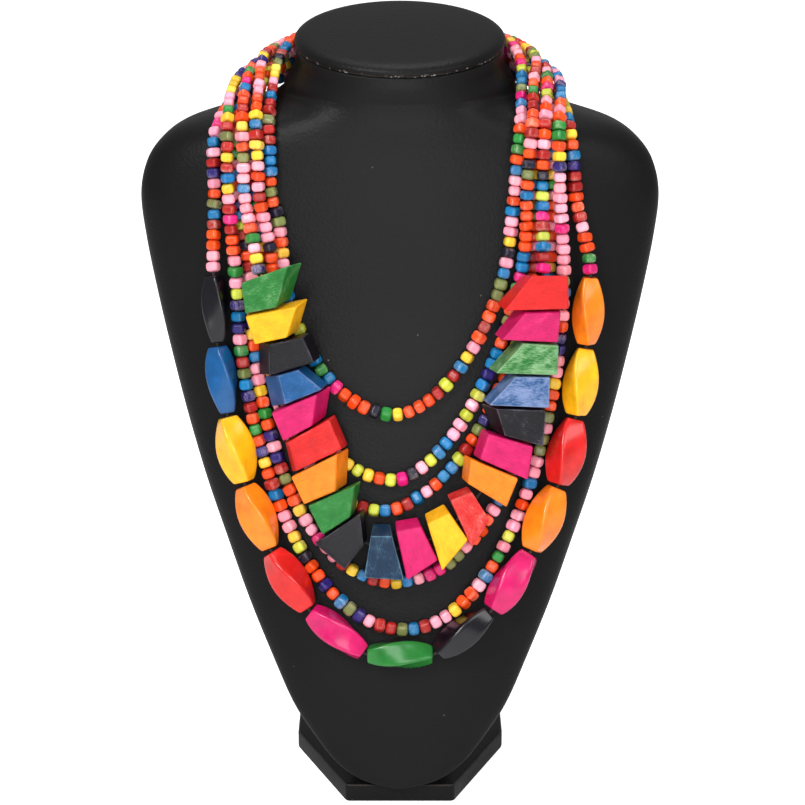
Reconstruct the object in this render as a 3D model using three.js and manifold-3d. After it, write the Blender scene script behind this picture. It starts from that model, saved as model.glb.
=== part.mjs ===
// A beaded necklace of seven strands on a black neck bust. Millimetres, +Z up; the bust
// faces -Y, its foot rests on z = 0 and the origin is under the middle of the whole.
// Five strands are small cube beads all round. One carries twenty wedge beads over the
// chest and the outermost carries thirteen barrel beads. All end in a clasp behind the neck.

import * as THREE from 'three';
import { mergeVertices } from 'three/addons/utils/BufferGeometryUtils.js';
import Module from 'manifold-3d';

const wasm = await Module();
wasm.setup();

// Driving sizes
const touchGap = 0.3;
const bust = {
  frontPower: 2.2,      // squareness of a level section's front half
  backPower: 2.5,       // and of its back half
  sides: 40,
  neckTilt: 13.5,       // degrees the neck's top leans forward
  neckTop: 320.4,       // height of the neck's top at its middle
  neckMiddle: 17.6,
};
const cap = { halfWidth: 45.6, halfDepth: 39.8, sides: 40 };
const capProfile = [
  { share: 0.55, rise: 6.1 }, { share: 0.86, rise: 5.1 }, { share: 0.96, rise: 4 },
  { share: 1, rise: 2 }, { share: 0.985, rise: touchGap },
];
const capTop = 6.6;
const foot = {
  thick: 8.6,
  halfWidth: 47,
  frontHalf: 23.6,      // half the width of its front edge
  front: -69.6,
  cornerDepth: 53,      // the front corners are cut off over this depth
  back: 46,
  backCut: 22,          // and the back corners by this much each way
};
const post = { width: 46, front: -40, back: 12, top: 150 };
const cube = {
  pitch: 4.95,
  fanPitch: 4.35,       // over the shoulders and behind the neck the beads are shorter
  fanFrom: 215,         // between these two heights the one pitch turns into the other
  fanFull: 250,
  gap: 0.7,
  width: 4.45,
  wobble: 3,
  small: 0.84,          // every other bead is this much as wide
  tucked: 0.82,         // and so are those behind the neck
};
const barrel = { pitch: 30.7, gap: 2, count: 13, sides: 8, power: 2.4, twist: 52 };
const wedge = { pitch: 14.3, slide: 2.5, depth: 12, gap: 0.5 };
const clasp = { halfWidth: 6, depth: 18.4, height: 25, middleY: 67.5, middleZ: 312.8, gap: 0.4 };
const lift = {
  low: 3.8,             // a low strand's thread stands this far off the bust
  fan: 5.7,             // every other strand rides this much higher over the shoulders
  back: 6.2,            // and this much higher behind the neck
};
// Behind the neck the strands lie one below another, step apart; the angles are degrees from
// the middle of the back
const napeStations = [
  { angle: 8, top: 321.3, step: 2.6 }, { angle: 28, top: 320.8, step: 2.6 },
  { angle: 46, top: 320, step: 2.6 }, { angle: 61, top: 318.8, step: 2.6 },
  { angle: 75, top: 317.4, step: 2.6 },
];
const collar = { low: 284, high: 300 };   // the heights where the chest turns into the neck
const smoothness = 0.5;                   // the tension of every smooth curve

// Level sections of the bust from the tip of its chest up to the top of its neck. rim is the
// depth at which a section is widest, front and back are how far it reaches in Y.
const bustSections = [
  { height: 9, halfWidth: 2, rim: -73.6, front: -75, back: -71 },
  { height: 11, halfWidth: 13, rim: -72.6, front: -74.7, back: -66 },
  { height: 14, halfWidth: 20.5, rim: -71, front: -74, back: -60 },
  { height: 20, halfWidth: 29, rim: -67.5, front: -72.5, back: -53 },
  { height: 30, halfWidth: 38, rim: -62, front: -70.3, back: -46 },
  { height: 43, halfWidth: 47, rim: -57, front: -67.5, back: -39 },
  { height: 62, halfWidth: 56, rim: -50, front: -63.5, back: -31 },
  { height: 86, halfWidth: 66.5, rim: -41, front: -57.5, back: -22 },
  { height: 111, halfWidth: 76, rim: -32, front: -51.5, back: -13 },
  { height: 136, halfWidth: 85, rim: -24, front: -45.5, back: -4 },
  { height: 162, halfWidth: 93, rim: -16, front: -39.5, back: 5 },
  { height: 187, halfWidth: 99.5, rim: -10, front: -34, back: 14 },
  { height: 213, halfWidth: 105.5, rim: -5, front: -29, back: 24 },
  { height: 239, halfWidth: 110.5, rim: -1, front: -25.5, back: 36 },
  { height: 258, halfWidth: 112.5, rim: 2, front: -23.5, back: 46 },
  { height: 272, halfWidth: 109.5, rim: 5, front: -22, back: 52 },
  { height: 281, halfWidth: 103, rim: 7, front: -20.8, back: 55 },
  { height: 287, halfWidth: 94, rim: 10, front: -19.8, back: 57 },
  { height: 291.5, halfWidth: 79, rim: 13, front: -19.3, back: 59 },
  { height: 295.5, halfWidth: 64, rim: 17, front: -19.3, back: 58.8 },
  { height: 300, halfWidth: 52.8, rim: 18, front: -19.6, back: 57.8 },
  { height: 309, halfWidth: 49.4, rim: 18, front: -20.3, back: 57.4 },
  { height: 322, halfWidth: 45.4, rim: 18, front: -21, back: 57.4 },
  { height: 336, halfWidth: 45, rim: 18, front: -21, back: 57.4 },
];

// Where the innermost and the outermost strand pass beside the neck (x, y, z) and down the
// top of the chest (x, z); the strands between them share out the way. left is -X.
const collarStations = {
  left: [
    { inner: [53, 12, 311.6], outer: [65, 19, 301.6] },
    { inner: [54.8, -7, 300.5], outer: [73, 1.5, 296.4] },
  ],
  right: [
    { inner: [52.4, 12, 311.6], outer: [64, 19, 301.6] },
    { inner: [51.6, -7, 300.5], outer: [69.8, 2, 297.4] },
  ],
};
const chestStations = {
  left: [
    { inner: [55, 289], outer: [78, 284] },
    { inner: [54.5, 276], outer: [78.8, 271] },
    { inner: [54, 262], outer: [78.8, 257] },
  ],
  right: [
    { inner: [50.5, 289], outer: [71.8, 285] },
    { inner: [49, 276], outer: [73.8, 272] },
    { inner: [48, 262], outer: [75.2, 258] },
  ],
};

// fan is a strand's share of the way from the innermost to the outermost down the top of the
// chest. Below that it hangs in half an oval on each side of its lowest point: from is the
// height where it is widest, reach its half width, full its roundness (2 is an ellipse).
// liftTop and liftLow raise the thread off the bust at the widest and at the lowest point.
const strands = [
  { name: 'a', fan: 0, bottomX: -2, bottomZ: 169.3, liftTop: 0, liftLow: 0,
    left: { reach: 48.7, from: 248, full: 2 }, right: { reach: 49, from: 250, full: 1.7 } },
  { name: 'b', fan: 0.16, bottomX: -2, bottomZ: 141.8, liftTop: 5.6, liftLow: 0,
    left: { reach: 51.5, from: 237, full: 2.1 }, right: { reach: 54.3, from: 245, full: 1.62 } },
  { name: 'c', fan: 0.27, bottomX: -7, bottomZ: 128.8, liftTop: 0, liftLow: 0,
    left: { reach: 50.8, from: 228, full: 2.2 }, right: { reach: 63.2, from: 236, full: 1.7 } },
  { name: 'd', fan: 0.4, bottomX: -3, bottomZ: 113.5, liftTop: 14.5, liftLow: 9.9,
    left: { reach: 54, from: 230, full: 2 }, right: { reach: 61, from: 230, full: 2 } },
  { name: 'e', fan: 0.6, bottomX: -2, bottomZ: 98.8, liftTop: 0, liftLow: 0,
    left: { reach: 61.7, from: 230, full: 2.1 }, right: { reach: 65, from: 226, full: 2 } },
  { name: 'f', fan: 0.67, bottomX: 2, bottomZ: 78.6, liftTop: 5.2, liftLow: 0,
    left: { reach: 70.3, from: 228, full: 2 }, right: { reach: 66.2, from: 228, full: 2 } },
  { name: 'g', fan: 0.97, bottomX: 0, bottomZ: 66.4, liftTop: 5.4, liftLow: 5.4,
    left: { reach: 77.5, from: 230, full: 2 }, right: { reach: 79, from: 230, full: 2 } },
];
const outermost = strands.length - 1;
const wedgeLane = strands.findIndex(({ name }) => name === 'd');
const ovalSteps = 7;
const settleSteps = 3;    // the liftTop has gone after this many of them
const spanSteps = 60;     // measured pieces of a thread between two of its points

// Wedge beads in their order along the thread, from the upper left round to the upper right.
// first and last are the distances from the hole's middle to the face met first and last,
// in and out how far that face reaches towards and away from the middle of the necklace,
// lean its slant in degrees; facetIn and facetOut how much further the back of the bead goes.
const wedgeColumns = ['colour', 'first', 'firstIn', 'firstOut', 'firstLean',
  'last', 'lastIn', 'lastOut', 'lastLean', 'facetIn', 'facetOut'];
const wedgeRows = [
  ['green', 6.8, 14, 7, 13, 6.8, 7.5, 6, 12, 4.5, 1],
  ['yellow', 6.8, 16.5, 6, 12, 6.8, 11, 3, 6, 3, 1],
  ['black', 6.8, 18, -3, 6, 6.8, 21, -1, 6, 1, 7],
  ['blue', 6.8, 13.5, -5, 6, 6.8, 22, -5, 8, 1, 9],
  ['magenta', 6.8, 19, 2, 8, 6.8, 13, 1, 9, 5, 1],
  ['red', 6.8, 21, -1, 9, 6.8, 21, 1, 1, 1, 4],
  ['orange', 6.8, 18, 4, 1, 6.8, 9.5, 5, -10, 4, 1],
  ['green', 6.8, 18, 4, -10, 6.8, 7, 7, -12, 1.5, 1],
  ['black', 6.8, 11, 12, -12, 6.6, 0, 13, -12, 1.5, 2],
  ['navy', 5.8, 5, 13, 12, 6.6, 7, 12.5, 12, 4, 1],
  ['magenta', 6.5, 9, 12.5, 6, 6.6, 8, 8, 0, 3, 1],
  ['yellow', 6.5, 8, 13, -11, 6.6, 6, 8, -8, 3, 1],
  ['red', 6.6, 10, 12, -19, 5.2, 5, 9, -20, 1.5, 1],
  ['orange', 5.2, 8.5, 11, 3, 6.8, 13, 9, 5, 1.5, 2],
  ['magenta', 6.8, 9.5, 13, 4, 6.8, 11, 9, 5, 1.5, 1],
  ['black', 6.8, 4, 13, 5, 6.8, 12, 9, 14, 5, 1],
  ['blue', 6.8, 15.5, 10, 13, 6.8, 7.5, 7, 10, 1.5, 2],
  ['green', 6.8, 16.5, 10, 9, 6.8, 7, 8, 4, 1.5, 1],
  ['magenta', 6.8, 16.5, 7.5, 4, 6.8, 8, 7, 3, 1.5, 2],
  ['red', 6.8, 17, 10.5, 3, 6.8, 6, 9.5, 1, 1.5, 1],
];
const wedges = wedgeRows.map(
  (row) => Object.fromEntries(row.map((value, i) => [wedgeColumns[i], value])));

// Barrel beads in the same order, with their widths
const barrels = [
  { colour: 'black', width: 11.5 }, { colour: 'blue', width: 13.2 },
  { colour: 'yellow', width: 15.6 },
  { colour: 'orange', width: 15 }, { colour: 'red', width: 15 }, { colour: 'magenta', width: 13.6 },
  { colour: 'green', width: 12.6 }, { colour: 'black', width: 13 }, { colour: 'magenta', width: 15 },
  { colour: 'orange', width: 15.2 }, { colour: 'red', width: 15.6 }, { colour: 'yellow', width: 14.4 },
  { colour: 'orange', width: 12.8 },
];
const barrelProfile = [
  { along: 0, share: 0.5 }, { along: 0.14, share: 0.76 }, { along: 0.35, share: 0.97 },
  { along: 0.65, share: 0.97 }, { along: 0.86, share: 0.76 }, { along: 1, share: 0.5 },
];

const dyes = {
  black: 0x2a2733, blue: 0x235f96, navy: 0x1f4468, yellow: 0xf5c63c, orange: 0xf78c32,
  red: 0xdf3a34, magenta: 0xdb3379, green: 0x4a9e54, mixed: 0xe87a6a,
};

// Curves and surfaces

// A closed solid through rings of corners: place(ring, angle, rim) says where each corner
// goes, and rim is 0 for the middle of an end face.
function loft(sides, rings, place) {
  const solid = new THREE.CylinderGeometry(1, 1, 1, sides, rings - 1);
  const corners = solid.attributes.position;
  const at = new THREE.Vector3();
  for (let i = 0; i < corners.count; i += 1) {
    at.fromBufferAttribute(corners, i);
    const ring = Math.round((0.5 - at.y) * (rings - 1));
    const moved = place(ring, Math.atan2(at.x, at.z), Math.round(Math.hypot(at.x, at.z)));
    corners.setXYZ(i, moved.x, moved.y, moved.z);
  }
  solid.deleteAttribute('normal');
  solid.deleteAttribute('uv');
  return mergeVertices(solid, 1e-4);
}

const signedPower = (value, power) => Math.sign(value) * Math.abs(value) ** power;
const radians = THREE.MathUtils.degToRad;
const mix = THREE.MathUtils.lerp;

// The bust's section at any height, on a smooth curve through the table's rows
const sectionSteps = 1200;
const smoothCurve = (points) => new THREE.CatmullRomCurve3(points, false, 'catmullrom', smoothness);
const widthCurve = smoothCurve(
  bustSections.map((row) => new THREE.Vector3(row.halfWidth, row.rim, row.height)));
const depthCurve = smoothCurve(
  bustSections.map((row) => new THREE.Vector3(row.front, row.back, row.height)));
const sectionSamples = Array.from({ length: sectionSteps + 1 }, (_, i) => {
  const wide = widthCurve.getPoint(i / sectionSteps);
  const deep = depthCurve.getPoint(i / sectionSteps);
  return { height: wide.z, halfWidth: wide.x, rim: wide.y, front: deep.x, back: deep.y };
});

function sectionAt(height) {
  let upper = sectionSamples.findIndex((row) => row.height >= height);
  upper = upper < 1 ? sectionSamples.length - 1 : upper;
  const low = sectionSamples[upper - 1];
  const high = sectionSamples[upper];
  const share = THREE.MathUtils.clamp((height - low.height) / (high.height - low.height), 0, 1);
  const between = {};
  for (const key of Object.keys(low)) between[key] = mix(low[key], high[key], share);
  return between;
}

// A point of a section's outline; the angle runs from the middle of the back
function outline(section, angle) {
  const back = Math.cos(angle) >= 0;
  const power = 2 / (back ? bust.backPower : bust.frontPower);
  const depth = back ? section.back - section.rim : section.rim - section.front;
  return new THREE.Vector3(
    section.halfWidth * signedPower(Math.sin(angle), power),
    section.rim + depth * signedPower(Math.cos(angle), power),
    section.height);
}

function frontY(x, z) {
  const section = sectionAt(z);
  const across = Math.min(Math.abs(x) / section.halfWidth, 1);
  const bulge = (1 - across ** bust.frontPower) ** (1 / bust.frontPower);
  return section.rim - (section.rim - section.front) * bulge;
}

// The outward direction of the bust's front, and a point that stands off it
function chestNormal(x, z) {
  const reach = 0.2;
  const slopeX = (frontY(x + reach, z) - frontY(x - reach, z)) / (2 * reach);
  const slopeZ = (frontY(x, z + reach) - frontY(x, z - reach)) / (2 * reach);
  return new THREE.Vector3(slopeX, -1, slopeZ).normalize();
}

function offChest(x, z, distance) {
  return new THREE.Vector3(x, frontY(x, z), z).addScaledVector(chestNormal(x, z), distance);
}

function offNeck(angle, height, distance) {
  const section = sectionAt(height);
  const step = radians(1);
  const along = outline(section, angle + step).sub(outline(section, angle - step));
  const outward = new THREE.Vector3(-along.y, along.x, 0).normalize();
  return outline(section, angle).addScaledVector(outward, distance);
}

// The strands' routes

// One side of a strand, from the clasp down to just short of its lowest point
function sideOf(strand, lane, sideName) {
  const side = sideName === 'left' ? -1 : 1;
  const share = lane / outermost;
  const raised = lane % 2;
  const points = napeStations.map(({ angle, top, step }) => (
    offNeck(radians(angle), top - step * lane, lift.low + lift.back * raised)));
  points[0].x = clasp.halfWidth + clasp.gap;
  const stations = collarStations[sideName].map(({ inner, outer }) => ({
    inner: new THREE.Vector3(...inner),
    outer: new THREE.Vector3(...outer),
  }));
  const [upper, lower] = stations;
  const path = lower.inner.clone().add(lower.outer).sub(upper.inner).sub(upper.outer);
  for (const { inner, outer } of stations) {
    const upward = path.clone().cross(outer.clone().sub(inner)).normalize();
    points.push(inner.clone().lerp(outer, share).addScaledVector(upward, lift.back * raised));
  }
  for (const point of points) point.x *= side;
  for (const { inner, outer } of chestStations[sideName]) {
    const x = side * mix(inner[0], outer[0], strand.fan);
    points.push(offChest(x, mix(inner[1], outer[1], strand.fan), lift.low + lift.fan * raised));
  }
  const oval = strand[sideName];
  for (let i = 0; i < ovalSteps; i += 1) {
    const angle = (i / ovalSteps) * Math.PI / 2;
    const x = strand.bottomX + side * oval.reach * Math.cos(angle) ** (2 / oval.full);
    const z = oval.from - (oval.from - strand.bottomZ) * Math.sin(angle) ** (2 / oval.full);
    const extra = mix(strand.liftLow, strand.liftTop, Math.max(0, 1 - i / settleSteps));
    points.push(offChest(x, z, lift.low + extra));
  }
  return points;
}

// The whole thread of a strand as a curve measured by its length
function threadOf(strand, lane) {
  const left = sideOf(strand, lane, 'left');
  const right = sideOf(strand, lane, 'right');
  const lowest = offChest(strand.bottomX, strand.bottomZ, lift.low + strand.liftLow);
  const points = [...left, lowest, ...right.reverse()];
  const curve = smoothCurve(points);
  const divisions = (points.length - 1) * spanSteps;
  curve.arcLengthDivisions = divisions;
  const lengths = curve.getLengths(divisions);
  const length = lengths[divisions];
  const frameAt = (distance) => {
    const share = THREE.MathUtils.clamp(distance / length, 0, 1);
    const point = curve.getPointAt(share);
    const along = curve.getTangentAt(share);
    const outward = outwardAt(point);
    outward.addScaledVector(along, -outward.dot(along)).normalize();
    const across = outward.clone().cross(along);
    return { point, along, outward, across };
  };
  return { length, bottom: lengths[left.length * spanSteps], frameAt };
}

// Away from the bust at a thread: off the chest below the collar, away from the neck above
function outwardAt(point) {
  const away = new THREE.Vector3(point.x, point.y - bust.neckMiddle, 0).normalize();
  if (point.z > collar.high) return away;
  const front = chestNormal(point.x, Math.min(point.z, collar.low));
  const share = THREE.MathUtils.clamp((point.z - collar.low) / (collar.high - collar.low), 0, 1);
  return front.lerp(away, share).normalize();
}

// The pieces

const pieces = new THREE.Group();

function addPiece(name, geometry, colour, roughness) {
  geometry.computeVertexNormals();
  const material = new THREE.MeshStandardMaterial({ color: colour, roughness, flatShading: true });
  const mesh = new THREE.Mesh(geometry, material);
  mesh.name = name;
  pieces.add(mesh);
  return mesh;
}

// Where a run's beads meet: the pitch follows the thread's height, and is stretched a little
// so that a whole number of beads fills the run.
function beadEnds(thread, start, end) {
  const steps = 400;
  const counted = [0];
  for (let i = 0; i < steps; i += 1) {
    const { z } = thread.frameAt(mix(start, end, (i + 0.5) / steps)).point;
    const share = THREE.MathUtils.smoothstep(z, cube.fanFrom, cube.fanFull);
    counted.push(counted[i] + (end - start) / steps / mix(cube.pitch, cube.fanPitch, share));
  }
  const count = Math.round(counted[steps]);
  return Array.from({ length: count + 1 }, (_, bead) => {
    const wanted = bead / count * counted[steps];
    const upper = Math.max(1, counted.findIndex((value) => value >= wanted - 1e-9));
    const within = (wanted - counted[upper - 1]) / (counted[upper] - counted[upper - 1]);
    return mix(start, end, (upper - 1 + within) / steps);
  });
}

// A run of small cube beads joined along their thread: each bead is two square rings, and
// every other bead is a smaller one, so that the beads are told apart.
function cubeString(thread, start, end, seed) {
  const ends = beadEnds(thread, start, end);
  const sizes = ends.slice(1).map((next, i) => {
    const tucked = thread.frameAt((ends[i] + next) / 2).point.z > collar.high;
    return {
      turn: radians(45 + cube.wobble * Math.sin(2.4 * i + seed)),
      radius: cube.width / Math.SQRT2 * (i % 2 ? cube.small : 1) * (tucked ? cube.tucked : 1),
    };
  });
  return loft(4, 2 * sizes.length, (ring, angle, rim) => {
    const bead = Math.floor(ring / 2);
    const entering = ring % 2 === 0;
    const distance = entering ? ends[bead] + cube.gap / 2 : ends[bead + 1] - cube.gap / 2;
    const { point, outward, across } = thread.frameAt(distance);
    const { turn, radius } = sizes[bead];
    return point.addScaledVector(across, rim * radius * Math.sin(turn + angle))
      .addScaledVector(outward, rim * radius * Math.cos(turn + angle));
  });
}

// A barrel bead: a rounded square section that swells to its middle and turns along it
function barrelBead(thread, middle, size) {
  const half = (barrel.pitch - barrel.gap) / 2;
  const from = thread.frameAt(middle - half).point;
  const to = thread.frameAt(middle + half).point;
  const { outward } = thread.frameAt(middle);
  const along = to.clone().sub(from).normalize();
  outward.addScaledVector(along, -outward.dot(along)).normalize();
  const across = outward.clone().cross(along);
  return loft(barrel.sides, barrelProfile.length, (ring, angle, rim) => {
    const { along: share, share: fat } = barrelProfile[ring];
    const turn = angle - radians(barrel.twist) * (share - 0.5) - Math.PI / barrel.sides;
    const sum = Math.abs(Math.cos(turn)) ** barrel.power + Math.abs(Math.sin(turn)) ** barrel.power;
    const square = sum ** (-1 / barrel.power);
    const radius = rim * size.width / 2 * fat * square;
    return from.clone().lerp(to, share)
      .addScaledVector(across, radius * Math.sin(angle))
      .addScaledVector(outward, radius * Math.cos(angle));
  });
}

// A wedge bead: a face met first and a face met last along the thread, each with its own
// reach and slant, and end facets where the back goes further than the front.
function wedgeBead(thread, middle, shape) {
  const hub = thread.frameAt(middle);
  const away = hub.point.x < strands[wedgeLane].bottomX ? -1 : 1;
  const low = Math.abs(hub.along.z) < Math.abs(hub.along.x);
  const outSign = low ? Math.sign(-hub.across.z) : away * Math.sign(hub.across.x);
  const faces = [
    {
      offset: wedge.gap / 2 - shape.first,
      inwards: shape.firstIn,
      outwards: shape.firstOut,
      lean: shape.firstLean,
    },
    {
      offset: shape.last - wedge.gap / 2,
      inwards: shape.lastIn,
      outwards: shape.lastOut,
      lean: shape.lastLean,
    },
  ];
  return loft(4, 2, (ring, angle, rim) => {
    const face = faces[ring];
    const { point, along, outward } = thread.frameAt(middle + face.offset);
    const across = outward.clone().cross(along).multiplyScalar(outSign);
    const slanted = across.multiplyScalar(Math.cos(radians(face.lean)))
      .addScaledVector(along, Math.sin(radians(face.lean)));
    const front = Math.cos(angle + Math.PI / 4) > 0;
    const outer = (Math.sin(angle + Math.PI / 4) > 0) === (outSign > 0);
    const facet = front ? 0 : (outer ? shape.facetOut : shape.facetIn);
    const reach = outer ? face.outwards + facet : -face.inwards - facet;
    const middleReach = (face.outwards - face.inwards) / 2;
    return point.addScaledVector(slanted, rim ? reach : middleReach)
      .addScaledVector(outward, rim * wedge.depth / 2 * (front ? 1 : -1));
  });
}

function solidOf(geometry) {
  const merged = mergeVertices(geometry, 1e-4);
  return new wasm.Manifold(new wasm.Mesh({
    numProp: 3,
    vertProperties: new Float32Array(merged.attributes.position.array),
    triVerts: new Uint32Array(merged.index.array),
  }));
}

function geometryOf(solid) {
  const mesh = solid.getMesh();
  const geometry = new THREE.BufferGeometry();
  geometry.setAttribute('position', new THREE.BufferAttribute(new Float32Array(mesh.vertProperties), 3));
  geometry.setIndex(new THREE.BufferAttribute(new Uint32Array(mesh.triVerts), 1));
  return geometry;
}

function bareBox(width, depth, height) {
  const box = new THREE.BoxGeometry(width, depth, height);
  box.deleteAttribute('normal');
  box.deleteAttribute('uv');
  return box;
}

// The bust: chest, shoulders and neck in one skin, cut off slanting under the cap and
// joined to the post that holds the chest up behind.
function bustBody() {
  const rows = [...bustSections].reverse();
  const skin = solidOf(loft(bust.sides, rows.length, (ring, angle, rim) => {
    const section = rows[ring];
    return rim ? outline(section, -angle) : new THREE.Vector3(0, section.rim, section.height);
  }));
  const cutSize = 160;   // larger than the neck every way
  const above = bareBox(cutSize, cutSize, cutSize);
  above.translate(0, 0, cutSize / 2);
  above.rotateX(radians(bust.neckTilt));
  above.translate(0, bust.neckMiddle, bust.neckTop);
  const postHeight = post.top - foot.thick - touchGap;
  const postBox = bareBox(post.width, post.back - post.front, postHeight);
  postBox.translate(0, (post.back + post.front) / 2, foot.thick + touchGap + postHeight / 2);
  return geometryOf(skin.subtract(solidOf(above)).add(solidOf(postBox)));
}

// The oval lid on the neck, softly rounded over its edge and slightly domed
function neckCap() {
  return loft(cap.sides, capProfile.length, (ring, angle, rim) => {
    const { share, rise } = capProfile[ring];
    const middle = ring === 0 ? capTop : rise;
    return new THREE.Vector3(
      cap.halfWidth * share * rim * Math.sin(angle),
      -cap.halfDepth * share * rim * Math.cos(angle),
      rim ? rise : middle);
  });
}

// The foot: a flat plate with its corners cut off
function footPlate() {
  const { halfWidth, frontHalf, front, cornerDepth, back, backCut } = foot;
  const plan = new THREE.Shape([
    new THREE.Vector2(-frontHalf, front),
    new THREE.Vector2(frontHalf, front),
    new THREE.Vector2(halfWidth, front + cornerDepth),
    new THREE.Vector2(halfWidth, back - backCut),
    new THREE.Vector2(halfWidth - backCut, back),
    new THREE.Vector2(backCut - halfWidth, back),
    new THREE.Vector2(-halfWidth, back - backCut),
    new THREE.Vector2(-halfWidth, front + cornerDepth),
  ]);
  return new THREE.ExtrudeGeometry(plan, { depth: foot.thick, bevelEnabled: false });
}

addPiece('bust_foot', footPlate(), 0x1d1c1f, 0.7);
addPiece('bust_body', bustBody(), 0x232225, 0.62);
const neckLid = addPiece('neck_cap', neckCap(), 0x29282b, 0.6);
neckLid.rotation.x = radians(bust.neckTilt);
neckLid.position.set(0, bust.neckMiddle, bust.neckTop);

const claspBlock = new THREE.BoxGeometry(2 * clasp.halfWidth, clasp.depth, clasp.height);
addPiece('clasp', claspBlock, 0x2b2523, 0.5).position.set(0, clasp.middleY, clasp.middleZ);

const threads = strands.map(threadOf);
const wedgeRun = wedges.length * wedge.pitch;
const barrelRun = barrel.count * barrel.pitch;
const middles = {
  d: threads[wedgeLane].bottom + wedge.slide,
  g: threads[outermost].bottom,
};

// A strand of small cubes all round
function plainStrand(name, lane) {
  const string = cubeString(threads[lane], 0, threads[lane].length, lane);
  addPiece(`strand_${name}`, string, dyes.mixed, 0.5);
}

// The two runs of small cubes on a strand whose middle stretch carries bigger beads
function splitStrand(name, lane, carried) {
  const thread = threads[lane];
  const leftEnd = middles[name] - carried / 2 - touchGap;
  const rightStart = middles[name] + carried / 2 + touchGap;
  addPiece(`strand_${name}_left`, cubeString(thread, 0, leftEnd, lane + 1), dyes.mixed, 0.5);
  const right = cubeString(thread, rightStart, thread.length, lane + 2);
  addPiece(`strand_${name}_right`, right, dyes.mixed, 0.5);
}

strands.forEach(({ name }, lane) => {
  if (name === 'd') splitStrand(name, lane, wedgeRun);
  else if (name === 'g') splitStrand(name, lane, barrelRun);
  else plainStrand(name, lane);
});

const numbered = (name, i) => `${name}_${String(i + 1).padStart(2, '0')}`;

wedges.forEach((shape, i) => {
  const middle = middles.d + (i - (wedges.length - 1) / 2) * wedge.pitch;
  const bead = wedgeBead(threads[wedgeLane], middle, shape);
  addPiece(numbered('wedge_bead', i), bead, dyes[shape.colour], 0.45);
});

barrels.forEach((size, i) => {
  const middle = middles.g + (i - (barrel.count - 1) / 2) * barrel.pitch;
  const bead = barrelBead(threads[outermost], middle, size);
  addPiece(numbered('barrel_bead', i), bead, dyes[size.colour], 0.3);
});

export default pieces;
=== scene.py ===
import math

import bpy
import numpy as np
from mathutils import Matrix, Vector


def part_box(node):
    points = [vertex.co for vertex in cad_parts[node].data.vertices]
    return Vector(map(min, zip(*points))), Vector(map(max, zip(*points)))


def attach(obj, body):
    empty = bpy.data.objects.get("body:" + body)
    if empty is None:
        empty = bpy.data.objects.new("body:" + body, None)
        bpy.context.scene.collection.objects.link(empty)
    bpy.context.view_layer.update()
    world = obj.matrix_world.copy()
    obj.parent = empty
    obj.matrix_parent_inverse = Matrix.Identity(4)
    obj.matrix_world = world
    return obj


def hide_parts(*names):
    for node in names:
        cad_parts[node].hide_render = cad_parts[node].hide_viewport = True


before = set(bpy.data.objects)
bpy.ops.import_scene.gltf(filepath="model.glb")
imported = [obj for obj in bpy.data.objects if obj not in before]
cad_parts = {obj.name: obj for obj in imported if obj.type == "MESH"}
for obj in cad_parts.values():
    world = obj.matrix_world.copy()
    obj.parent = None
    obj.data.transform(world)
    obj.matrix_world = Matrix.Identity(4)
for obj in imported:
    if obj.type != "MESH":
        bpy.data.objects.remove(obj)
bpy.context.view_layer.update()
mm = 0.001   # every size below is in millimetres
print("frame loaded")


# The smooth curve through a table's rows: between two rows it is the cubic whose slope at
# each row is half the way from the row before it to the row after it
def smoothRows(rows, t):
    rows = np.asarray(rows, float)
    last = len(rows) - 1
    t = np.clip(t, 0, last - 1e-9)
    step = np.floor(t).astype(int)
    share = (t - step)[..., None]
    padded = np.vstack([2 * rows[0] - rows[1], rows, 2 * rows[-1] - rows[-2]])
    before, start, end, after = (padded[step + k] for k in range(4))
    return 0.5 * (2 * start + (end - before) * share
                  + (2 * before - 5 * start + 4 * end - after) * share ** 2
                  + (3 * start - before - 3 * end + after) * share ** 3)


def unit(vectors):
    return vectors / np.linalg.norm(vectors, axis=-1, keepdims=True)


def signedPower(value, power):
    return np.sign(value) * np.abs(value) ** power


# Faces of a closed skin: quads between neighbouring rings of corners, and a fan of triangles
# from a pole over each end; the two poles are the last two points
def ringFaces(rings, corners):
    i, j = np.meshgrid(np.arange(rings - 1), np.arange(corners), indexing="ij")
    k = (j + 1) % corners
    ring, nextRing = i * corners, (i + 1) * corners
    quads = np.stack([ring + j, ring + k, nextRing + k, nextRing + j], -1)
    j = np.arange(corners)
    k = (j + 1) % corners
    lastRing = (rings - 1) * corners
    firstPole = rings * corners
    starts = np.stack([k, j, np.full(corners, firstPole)], -1)
    ends = np.stack([lastRing + j, lastRing + k, np.full(corners, firstPole + 1)], -1)
    return quads.reshape(-1, 4), np.vstack([starts, ends])


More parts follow.
